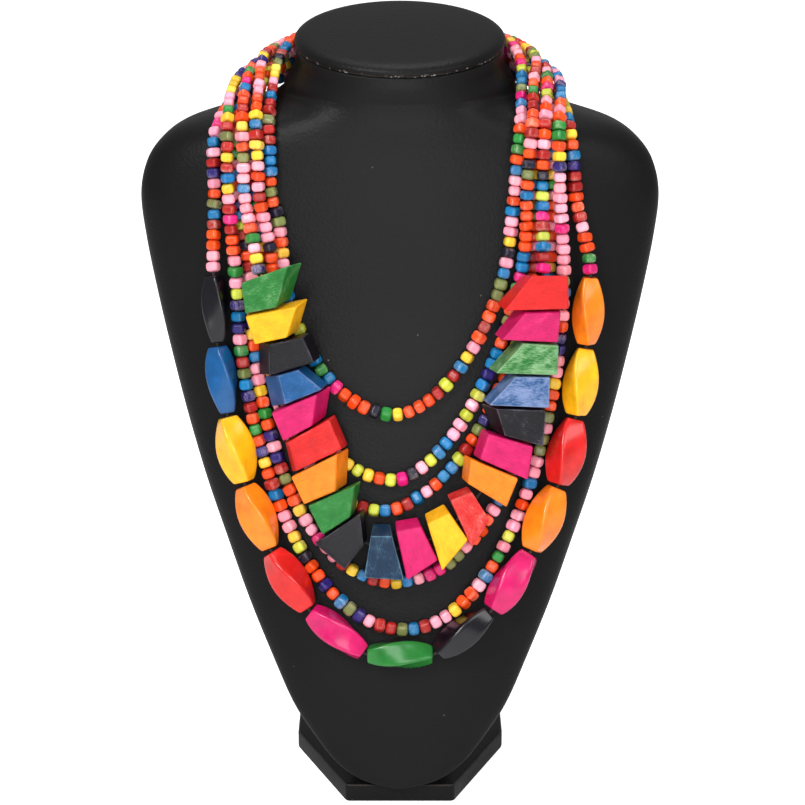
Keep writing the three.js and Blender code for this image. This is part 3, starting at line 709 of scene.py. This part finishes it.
# Each big bead's dye, and the colour it is rubbed to
woodDyes = {
    "black": (0x0b0911, 0x7f7b88), "blue": (0x114f85, 0x8292bb), "navy": (0x072741, 0x6690a8),
    "yellow": (0xefad14, 0xf3d274), "orange": (0xee7c16, 0xf8b86e), "red": (0xcb1d1c, 0xee857c),
    "magenta": (0xc4125e, 0xe86fa0), "green": (0x1c7029, 0x8fb787),
}
wedgeLook = {"gloss": 0.36, "fibre": 0.95, "coat": 0.08, "specular": 0.25, "relief": 0.0005,
             "rubbing": 0.1}
darkRubbing = {"black": 0.26, "navy": 0.28, "blue": 0.24}   # pale edges tell most on these
wedgeWoods = {
    colour: woodMaterial(f"{colour}WedgeWood", dye, worn,
                         {**wedgeLook, "rubbing": darkRubbing.get(colour, wedgeLook["rubbing"])})
    for colour, (dye, worn) in woodDyes.items()
}


# A wedge bead: a rounded block whose eight corners are moved to the corners of its two cut
# faces, every other point going the same share of the way between them
def makeWedge(i, row, rng):
    colour, first, last, facetIn, facetOut, wear = row
    thread = threads["d"]
    middle = thread["bottom"] + wedge["slide"] + (i - (wedge["count"] - 1) / 2) * wedge["pitch"]
    hub, along, _, across = framesOn(thread, middle)
    low = abs(along[2]) < abs(along[0])
    away = -1 if hub[0] < strands["d"]["bottom"][0] else 1
    outSign = np.sign(-across[2]) if low else away * np.sign(across[0])
    corners = np.zeros((2, 2, 2, 3))   # first or last face, in or out, back or front
    for face, (distance, reachIn, reachOut, lean) in enumerate((first, last)):
        offset = wedge["gap"] / 2 - distance if face == 0 else distance - wedge["gap"] / 2
        point, along, outward, across = framesOn(thread, middle + offset)
        slant = math.radians(lean)
        slanted = across * outSign * math.cos(slant) + along * math.sin(slant)
        for outer in (0, 1):
            for front in (0, 1):
                facet = 0 if front else (facetOut if outer else facetIn)
                reach = reachOut + facet if outer else -reachIn - facet
                depth = wedge["depth"] / 2 * (1 if front else -1)
                corners[face, outer, front] = point + slanted * reach + outward * depth
    width = np.linalg.norm(corners[:, 1] - corners[:, 0], axis=-1).mean()
    length = np.linalg.norm(corners[1] - corners[0], axis=-1).mean()
    half = np.array([length, width, wedge["depth"]]) / 2
    skin, _, quads, edge = roundedBlock(half, wedge["rounding"], wedge["flatSteps"],
                                        wedge["roundSteps"])
    share = (skin / half + 1) / 2
    weights = np.stack([1 - share, share], -1)
    points = np.einsum("va,vb,vc,abcd->vd", weights[:, 0], weights[:, 1], weights[:, 2], corners)
    local = skin[:, [1, 0, 2]] + rng.uniform(0, grain["spread"], 3)
    count = len(points)
    origin = corners[0, 0, 0]
    handed = np.cross(corners[1, 0, 0] - origin, corners[0, 1, 0] - origin)
    if handed @ (corners[0, 0, 1] - origin) < 0:
        quads = quads[:, ::-1]
    attributes = {"local": local, "edge": edge, "wear": np.full(count, wear)}
    makePiece(f"wedgeBead{i + 1:02d}", points, [quads], wedgeWoods[colour],
              [f"wedge_bead_{i + 1:02d}"], attributes)


wedgeRng = np.random.default_rng(wedge["seed"])
for i, row in enumerate(wedgeRows):
    makeWedge(i, row, wedgeRng)
print("wedge beads made")


# colour, width, and the turn in degrees of its front ridge at its middle
barrelRows = [
    ("black", 11.5, 50), ("blue", 13.2, 48), ("yellow", 15.6, 14), ("orange", 15, 32), ("red", 15, 24),
    ("magenta", 13.6, 46), ("green", 12.6, 60), ("black", 13, 30), ("magenta", 15, 50), ("orange", 15.2, 22),
    ("red", 15.6, 36), ("yellow", 14.4, 38), ("orange", 12.8, 32),
]
# the rubbing sets how pale the barrels' corner lines go; they stand for rubbed wear and a painted highlight
# along the ridge
barrelLook = {"gloss": 0.24, "fibre": 0.3, "coat": 0.3, "specular": 0.3, "relief": 0.0001,
              "rubbing": 0.06}
barrelWoods = {
    colour: woodMaterial(f"{colour}BarrelWood", dye, worn, barrelLook)
    for colour, (dye, worn) in woodDyes.items() if colour != "navy"
}


# A barrel bead: a rounded square whose width follows the sine of the way along it, turning
# steadily as it goes, with flat ends sunk at the thread hole
def makeBarrel(i, row, rng):
    colour, width, ridge = row
    thread = threads["g"]
    middle = thread["bottom"] + (i - (barrel["count"] - 1) / 2) * barrel["pitch"]
    half = (barrel["pitch"] - barrel["gap"]) / 2
    start, end = pointOn(thread, np.array([middle - half, middle + half]))
    _, _, outward, _ = framesOn(thread, middle)
    along = unit(end - start)
    outward = unit(outward - along * (outward @ along))
    across = np.cross(outward, along)
    endShare, holeShare, holeDepth = barrel["endShare"], barrel["hole"] / width, barrel["holeDepth"]
    way = np.linspace(barrel["endInset"], 1 - barrel["endInset"], barrel["rows"])
    fat = endShare + (1 - endShare) * np.sin(math.pi * way) ** barrel["fullness"]
    wayAll = np.concatenate([[holeDepth, 0.0, 0.0], way, [1.0, 1.0, 1 - holeDepth]])
    rim = endShare * barrel["rimShare"]
    fatAll = np.concatenate([[holeShare, holeShare, rim], fat, [rim, holeShare, holeShare]])
    angle = np.linspace(0, 2 * math.pi, barrel["around"], endpoint=False)
    turn = angle[None] - np.radians(ridge + barrel["twist"] * (wayAll[:, None] - 0.5)) + math.pi / 4
    power = barrel["power"]
    square = (np.abs(np.cos(turn)) ** power + np.abs(np.sin(turn)) ** power) ** (-1 / power)
    widest = 2 ** (0.5 - 1 / power)
    sharp = (square - 1) / (widest - 1)
    cornerWeight = barrel["cornerWeight"]
    radius = width / 2 * fatAll[:, None] * square / (1 - cornerWeight + cornerWeight * widest)
    axis = start + (end - start) * wayAll[:, None]
    sideways, upright = radius * np.sin(angle), radius * np.cos(angle)
    points = axis[:, None] + across * sideways[..., None] + outward * upright[..., None]
    poles = np.array([start + (end - start) * holeDepth, end - (end - start) * holeDepth])
    quads, fans = ringFaces(len(wayAll), barrel["around"])
    length = np.linalg.norm(end - start)
    local = np.stack([wayAll[:, None] * length + 0 * angle, sideways, upright], -1)
    local = np.vstack([local.reshape(-1, 3), [[0, 0, 0], [length, 0, 0]]])
    local = local + rng.uniform(0, grain["spread"], 3)
    # the corner line: its worn colour is partly rubbed wear and partly a painted highlight where light
    # catches the ridge
    edge = np.concatenate([(np.clip(sharp, 0, 1) ** barrel["ridge"]).ravel(), [0, 0]])
    allPoints = np.vstack([points.reshape(-1, 3), poles])
    attributes = {"local": local, "edge": edge, "wear": np.full(len(allPoints), barrel["wear"])}
    faces = [quads[:, ::-1], fans[:, ::-1]]
    makePiece(f"barrelBead{i + 1:02d}", allPoints, faces, barrelWoods[colour],
              [f"barrel_bead_{i + 1:02d}"], attributes)


barrelRng = np.random.default_rng(barrel["seed"])
for i, row in enumerate(barrelRows):
    makeBarrel(i, row, barrelRng)
print("barrel beads made")


cord = {
    "radius": 0.6, "step": 2.5, "around": 6,
    "end": 0.5,           # left off at each end
    "sunk": 4,            # how much deeper it runs among the wedge beads
    "colour": 0x1a1713, "strand": 0x3a322a, "strands": 2200, "roughness": 0.7,
}


def cordMaterial():
    material, tree, shader = newMaterial("waxedThread")
    place = addNode(tree, "ShaderNodeTexCoord").outputs["Object"]
    fibres = noise(tree, place, cord["strands"], 3)
    colour = blend(tree, fibres, asColour(cord["colour"]), asColour(cord["strand"]))
    tree.links.new(colour, shader.inputs["Base Color"])
    tree.links.new(bump(tree, fibres, 0.5, 0.0002), shader.inputs["Normal"])
    shader.inputs["Roughness"].default_value = cord["roughness"]
    return material


# Each thread is a small circle carried along its route; among the wedge beads it runs
# deeper, where they are thickest
def makeCords():
    points, quads, fans, base = [], [], [], 0
    for name, thread in threads.items():
        distance = np.arange(cord["end"], thread["length"] - cord["end"], cord["step"])
        middle, _, outward, across = framesOn(thread, distance)
        if name == "d":
            fromBottom = np.abs(distance - thread["bottom"] - wedge["slide"])
            sunk = np.clip((wedge["count"] / 2 - 0.5 - fromBottom / wedge["pitch"]) * 2, 0, 1)
            middle = middle - outward * (cord["sunk"] * sunk)[:, None]
        angle = np.linspace(0, 2 * math.pi, cord["around"], endpoint=False)[None, :, None]
        spoke = outward[:, None] * np.cos(angle) + across[:, None] * np.sin(angle)
        rings = middle[:, None] + cord["radius"] * spoke
        ringQuads, ringFans = ringFaces(len(distance), cord["around"])
        points.append(np.vstack([rings.reshape(-1, 3), middle[[0, -1]]]))
        quads.append(ringQuads[:, ::-1] + base)
        fans.append(ringFans[:, ::-1] + base)
        base += len(points[-1])
    makePiece("beadThreads", np.vstack(points), [np.vstack(quads), np.vstack(fans)], cordMaterial())


makeCords()
print("threads drawn")


leather = {
    "colour": 0x0a0a0b,
    "worn": 0x121113,
    "pebble": 900,        # grains in a metre
    "roughness": 0.44, "roughVaries": 0.16,
    "specular": 0.15,
    "creases": 1500, "slow": 22, "relief": 0.45, "reliefDepth": 0.00022,
    "seam": 0x54483e, "seamBand": (0.62, 0.95), "seamBreaks": (0.3, 0.62), "breakScale": 90,
    "dust": 0x9a958e, "dustShade": 0.75, "dustRough": 0.9,
    "dustCells": 260, "dustLot": (0.978, 0.99), "dustSize": (0.1, 0.04),
    "glueCells": 700, "glueLot": (0.6, 0.7), "glueSize": (0.5, 0.3), "glueBand": (0.55, 0.9),
}


# Fine imitation leather: pebbles are the distances of a cell pattern, with a slow unevenness
# under them; dust is the few cells whose own lot falls highest, near their middles
def buildLeatherGrain():
    group, given, result = newGroup("leatherGrain", {
        "Vector": ("NodeSocketVector", None),
        "Pebble": ("NodeSocketFloat", 900.0),
    }, {"Height": "NodeSocketFloat", "Shade": "NodeSocketFloat", "Dust": "NodeSocketFloat"})
    tree, vector = group, given["Vector"]
    pebbles = {"Vector": vector, "Scale": given["Pebble"]}
    cells = addNode(tree, "ShaderNodeTexVoronoi", pebbles, feature="SMOOTH_F1")
    creases = noise(tree, vector, leather["creases"], 4, 0.6)
    slow = noise(tree, vector, leather["slow"], 3, 0.5)
    height = calc(tree, "MULTIPLY", creases, 0.5)
    height = calc(tree, "SUBTRACT", height, cells.outputs["Distance"])
    dustCells = {"Vector": vector, "Scale": leather["dustCells"]}
    specks = addNode(tree, "ShaderNodeTexVoronoi", dustCells)
    lot = addNode(tree, "ShaderNodeSeparateColor", {"Color": specks.outputs["Color"]}).outputs[0]
    near = ramp(tree, specks.outputs["Distance"], *leather["dustSize"])
    dust = calc(tree, "MULTIPLY", ramp(tree, lot, *leather["dustLot"]), near)
    slowShare = 0.7
    shade = calc(tree, "ADD", calc(tree, "MULTIPLY", slow, slowShare),
                 calc(tree, "MULTIPLY", creases, 1 - slowShare))
    for key, value in (("Height", height), ("Shade", shade), ("Dust", dust)):
        tree.links.new(value, result.inputs[key])
    return group


leatherGrain = buildLeatherGrain()


def leatherMaterial(name, seamShare, glueShare):
    material, tree, shader = newMaterial(name)
    place = addNode(tree, "ShaderNodeTexCoord").outputs["Object"]
    pebbled = tree.nodes.new("ShaderNodeGroup")
    pebbled.node_tree = leatherGrain
    pebbled.inputs["Pebble"].default_value = leather["pebble"]
    tree.links.new(place, pebbled.inputs["Vector"])
    seam = attribute(tree, "seam", "Fac")
    shade = pebbled.outputs["Shade"]
    colour = blend(tree, shade, asColour(leather["colour"]), asColour(leather["worn"]))
    broken = ramp(tree, noise(tree, place, leather["breakScale"], 5, 0.7), *leather["seamBreaks"])
    line = calc(tree, "MULTIPLY", ramp(tree, seam, *leather["seamBand"]),
                calc(tree, "MULTIPLY", broken, seamShare))
    colour = blend(tree, line, colour, asColour(leather["seam"]))
    glueCells = {"Vector": place, "Scale": leather["glueCells"]}
    specks = addNode(tree, "ShaderNodeTexVoronoi", glueCells)
    lot = addNode(tree, "ShaderNodeSeparateColor", {"Color": specks.outputs["Color"]}).outputs[1]
    glue = calc(tree, "MULTIPLY", ramp(tree, lot, *leather["glueLot"]),
                ramp(tree, specks.outputs["Distance"], *leather["glueSize"]))
    glue = calc(tree, "MULTIPLY", glue, ramp(tree, seam, *leather["glueBand"]))
    glue = calc(tree, "MULTIPLY", glue, glueShare)
    dusty = calc(tree, "MAXIMUM", glue, pebbled.outputs["Dust"])
    dustShare = calc(tree, "MULTIPLY", dusty, leather["dustShade"])
    colour = blend(tree, dustShare, colour, asColour(leather["dust"]))
    tree.links.new(colour, shader.inputs["Base Color"])
    smoothest = leather["roughness"] - leather["roughVaries"] / 2
    roughness = calc(tree, "MULTIPLY_ADD", shade, leather["roughVaries"], smoothest)
    roughness = calc(tree, "MAXIMUM", roughness, calc(tree, "MULTIPLY", dusty, leather["dustRough"]))
    tree.links.new(roughness, shader.inputs["Roughness"])
    relief = bump(tree, pebbled.outputs["Height"], leather["relief"], leather["reliefDepth"])
    tree.links.new(relief, shader.inputs["Normal"])
    shader.inputs["Specular IOR Level"].default_value = leather["specular"]
    return material


bustLeather = leatherMaterial("bustLeather", 0.75, 0.0)
capLeather = leatherMaterial("capLeather", 0.25, 1.0)
footLeather = leatherMaterial("footLeather", 0.5, 0.0)


# The chest, shoulders and neck: every section's outline in turn, the neck's last ones slid
# on to the slanting top, with the post behind as a rounded block
def makeBust():
    steps = (len(bustRows) - 1) * bustForm["stepsPerRow"]
    rows = smoothRows(bustRows, np.linspace(0, len(bustRows) - 1, steps + 1))
    angle = np.linspace(0, 2 * math.pi, bustForm["around"], endpoint=False)[None]
    height = rows[:, 0][:, None]
    x, y = outline([rows[:, k][:, None] for k in range(1, 5)], angle)
    slope = math.tan(math.radians(bustForm["neckTilt"]))
    top = bustForm["neckTop"] + (y - bustForm["neckMiddle"]) * slope
    slantFrom = bustForm["neckFoot"]
    share = np.clip((height - slantFrom) / (bustRows[-1, 0] - slantFrom), 0, 1)
    z = np.where(height > slantFrom, slantFrom + (top - slantFrom) * share, height + 0 * x)
    points = np.stack([x, y, z], -1).reshape(-1, 3)
    poles = [[0, bustRows[0, 2], bustRows[0, 0]], [0, bustForm["neckMiddle"], bustForm["neckTop"]]]
    quads, fans = ringFaces(len(rows), bustForm["around"])
    fromRim = np.abs(np.abs((angle + math.pi) % (2 * math.pi) - math.pi) - math.pi / 2)
    across = np.clip(1 - fromRim / math.radians(bustForm["seamAngle"]), 0, 1)
    seam = across * np.clip((bustForm["seamTop"] - height) / bustForm["seamFade"], 0, 1)
    middle = [0, (post["front"] + post["back"]) / 2, (post["foot"] + post["top"]) / 2]
    half = [post["halfWidth"], (post["back"] - post["front"]) / 2, (post["top"] - post["foot"]) / 2]
    skin, _, postQuads, _ = roundedBlock(half, post["rounding"], post["flatSteps"],
                                         post["roundSteps"])
    base = len(points) + 2
    allPoints = np.vstack([points, poles, skin + middle])
    seams = np.concatenate([seam.ravel(), [0, 0], np.zeros(len(skin))])
    faces = [quads[:, ::-1], postQuads + base, fans[:, ::-1]]
    makePiece("bustBody", allPoints, faces, bustLeather,
              ["bust_body"], {"seam": seams})


lid = {
    "halfWidth": 45.6, "halfDepth": 39.8, "top": 6.6, "bottom": 0.3,
    "around": 160, "rows": 78,
    "seamTop": 3.2, "seamFade": 2.6,   # the glued edge fades out below this height
}
# share of the half width, height
lidProfile = [
    (0.02, 6.6), (0.3, 6.5), (0.55, 6.1), (0.8, 5.4), (0.9, 4.9), (0.96, 4), (0.99, 2.9), (1, 2),
    (0.998, 1.2), (0.985, 0.3), (0.9, 0.3), (0.3, 0.3),
]


# The oval lid: a profile of share of the half width against height, carried round an oval
# and leant forward with the neck's top
def makeCap():
    rows = smoothRows(lidProfile, np.linspace(0, len(lidProfile) - 1, lid["rows"]))
    angle = np.linspace(0, 2 * math.pi, lid["around"], endpoint=False)[None]
    share, rise = rows[:, 0][:, None], rows[:, 1][:, None]
    across = lid["halfWidth"] * share * np.sin(angle)
    back = lid["halfDepth"] * share * np.cos(angle)
    flat = np.stack([across, back, rise + 0 * angle], -1)
    flat = np.vstack([flat.reshape(-1, 3), [[0, 0, lid["top"]], [0, 0, lid["bottom"]]]])
    tilt = math.radians(bustForm["neckTilt"])
    y = flat[:, 1] * math.cos(tilt) - flat[:, 2] * math.sin(tilt) + bustForm["neckMiddle"]
    z = flat[:, 1] * math.sin(tilt) + flat[:, 2] * math.cos(tilt) + bustForm["neckTop"]
    quads, fans = ringFaces(len(rows), lid["around"])
    glued = np.clip((lid["seamTop"] - rows[:, 1]) / lid["seamFade"], 0, 1)
    seam = np.concatenate([np.repeat(glued, lid["around"]), [0, 0]])
    makePiece("capLid", np.stack([flat[:, 0], y, z], -1), [quads, fans], capLeather,
              ["neck_cap"], {"seam": seam})


foot = {
    "thick": 8.6, "halfWidth": 47, "front": -69.6, "frontHalf": 23.6, "back": 46,
    "corner": 53,         # how far behind the front the plan is at its widest
    "cut": 22,            # how much is cut off each back corner
    "rounding": 1.6, "turns": 6,
    "seamBelowTop": 0.5, "seamReach": 0.8,
}


# The foot: an eight-sided plan with each corner rounded by a short curve, carried up a
# profile of how far in it stands against height
def makeFoot():
    thick, halfWidth, frontHalf = foot["thick"], foot["halfWidth"], foot["frontHalf"]
    front, back, cut = foot["front"], foot["back"], foot["cut"]
    widestY = front + foot["corner"]
    plan = np.array([
        (-frontHalf, front), (frontHalf, front), (halfWidth, widestY),
        (halfWidth, back - cut), (halfWidth - cut, back), (cut - halfWidth, back),
        (-halfWidth, back - cut), (-halfWidth, widestY),
    ], float)
    before, after = unit(np.roll(plan, 1, 0) - plan), unit(np.roll(plan, -1, 0) - plan)
    t = np.linspace(0, 1, foot["turns"])[None, :, None]
    bend = (1 - t) ** 2 * before[:, None] + t ** 2 * after[:, None]
    path = (plan[:, None] + foot["rounding"] * bend).reshape(-1, 2)
    profile = [(1.2, 0), (0.5, 0.15), (0.1, 0.5), (0, 1), (0, thick - 1.3), (0.15, thick - 0.6),
               (0.6, thick - 0.15), (1.3, thick), (14, thick)]
    inset, height = np.array(profile).T
    centre = np.array([0, (front + back) / 2])
    rings = centre + (path - centre)[None] * (1 - inset / halfWidth)[:, None, None]
    levels = np.broadcast_to(height[:, None, None], rings.shape[:2] + (1,))
    points = np.concatenate([rings, levels], -1).reshape(-1, 3)
    points = np.vstack([points, [[*centre, 0], [*centre, thick]]])
    quads, fans = ringFaces(len(profile), len(path))
    fromSeam = np.abs(height - thick + foot["seamBelowTop"])
    seam = np.repeat(np.clip(1 - fromSeam / foot["seamReach"], 0, 1), len(path))
    seam = np.concatenate([seam, [0, 0]])
    makePiece("footPlate", points, [quads, fans], footLeather,
              ["bust_foot"], {"seam": seam})


makeBust()
makeCap()
makeFoot()
print("bust covered")


claspLook = {"colour": 0x2b2522, "edge": 0x5a4f46, "rounding": 1.6}


def claspMaterial():
    material, tree, shader = newMaterial("darkClasp")
    place = addNode(tree, "ShaderNodeTexCoord").outputs["Object"]
    marks = noise(tree, place, 700, 5, 0.65)
    rub = calc(tree, "MULTIPLY", ramp(tree, marks, 0.5, 0.7), attribute(tree, "edge", "Fac"))
    tree.links.new(blend(tree, rub, asColour(claspLook["colour"]), asColour(claspLook["edge"])),
                   shader.inputs["Base Color"])
    tree.links.new(calc(tree, "MULTIPLY_ADD", marks, 0.25, 0.35), shader.inputs["Roughness"])
    tree.links.new(bump(tree, marks, 0.3, 0.0002), shader.inputs["Normal"])
    return material


def makeClasp():
    low, high = (np.array(corner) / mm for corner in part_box("clasp"))
    skin, _, quads, edge = roundedBlock((high - low) / 2, claspLook["rounding"], 8, 4)
    makePiece("claspBlock", skin + (low + high) / 2, [quads], claspMaterial(), ["clasp"],
              {"edge": edge})


makeClasp()
print("clasp made")


stage = {"floor": 0xf6f5f3, "halfSide": 9, "glow": 0.8, "world": 0.36, "backdrop": 1.0}
lampTarget = (0, 0, 0.2)
lights = [   # name, place, side, power in watts
    ("softKey", (-0.75, -1.5, 1.55), 0.6, 28),
    ("softFill", (1.0, -1.3, 1.2), 0.8, 9),
    ("softTop", (0, 0.2, 2.0), 1.0, 15),
    ("softNear", (0, -0.5, 0.27), 0.22, 0.75),
]
view = {
    "target": (0.0011, -0.015, 0.167), "distance": 1.0, "elevation": 18,
    "lens": 101.6, "sensor": 36,
}


def makeStage():
    mesh = bpy.data.meshes.new("studioFloor")
    size = stage["halfSide"]
    corners = [(-size, -size, 0), (size, -size, 0), (size, size, 0), (-size, size, 0)]
    mesh.from_pydata(corners, [], [(0, 1, 2, 3)])
    material, tree, shader = newMaterial("paleFloor")
    place = addNode(tree, "ShaderNodeTexCoord").outputs["Object"]
    paper = noise(tree, place, 900, 3)
    colour = blend(tree, paper, asColour(stage["floor"]), asColour(0xffffff))
    tree.links.new(colour, shader.inputs["Base Color"])
    shader.inputs["Roughness"].default_value = 0.85
    shader.inputs["Specular IOR Level"].default_value = 0.1
    shader.inputs["Emission Color"].default_value = (1, 1, 1, 1)
    seen = addNode(tree, "ShaderNodeLightPath").outputs["Is Camera Ray"]
    tree.links.new(calc(tree, "MULTIPLY", seen, stage["glow"]), shader.inputs["Emission Strength"])
    mesh.materials.append(material)
    floor = bpy.data.objects.new("studioFloor", mesh)
    bpy.context.scene.collection.objects.link(floor)
    makeRoom()


# A white room: the backdrop is seen at its own strength and lights the part at the world's
def makeRoom():
    world = bpy.data.worlds.new("paleRoom")
    world.use_nodes = True
    tree = world.node_tree
    seen = addNode(tree, "ShaderNodeLightPath").outputs["Is Camera Ray"]
    strength = calc(tree, "MULTIPLY_ADD", seen, stage["backdrop"] - stage["world"], stage["world"])
    background = tree.nodes["Background"]
    background.inputs["Color"].default_value = (1, 1, 1, 1)
    tree.links.new(strength, background.inputs["Strength"])
    bpy.context.scene.world = world


def aimed(thing, place, target):
    aim = Vector(target) - Vector(place)
    thing.location = place
    thing.rotation_euler = aim.to_track_quat("-Z", "Y").to_euler()


def makeLights():
    for name, place, side, power in lights:
        data = bpy.data.lights.new(name, "AREA")
        data.size = side
        data.energy = power
        lamp = bpy.data.objects.new(name, data)
        lamp.visible_camera = False
        bpy.context.scene.collection.objects.link(lamp)
        aimed(lamp, place, lampTarget)


def makeCamera():
    data = bpy.data.cameras.new("studioCamera")
    data.lens = view["lens"]
    data.sensor_width = view["sensor"]
    camera = bpy.data.objects.new("studioCamera", data)
    bpy.context.scene.collection.objects.link(camera)
    lean = math.radians(view["elevation"])
    x, y, z = view["target"]
    distance = view["distance"]
    camera.location = (x, y - distance * math.cos(lean), z + distance * math.sin(lean))
    camera.rotation_euler = (math.pi / 2 - lean, 0, 0)
    bpy.context.scene.camera = camera


makeStage()
makeLights()
makeCamera()
bpy.context.scene.view_settings.view_transform = "Standard"
print("stage set")
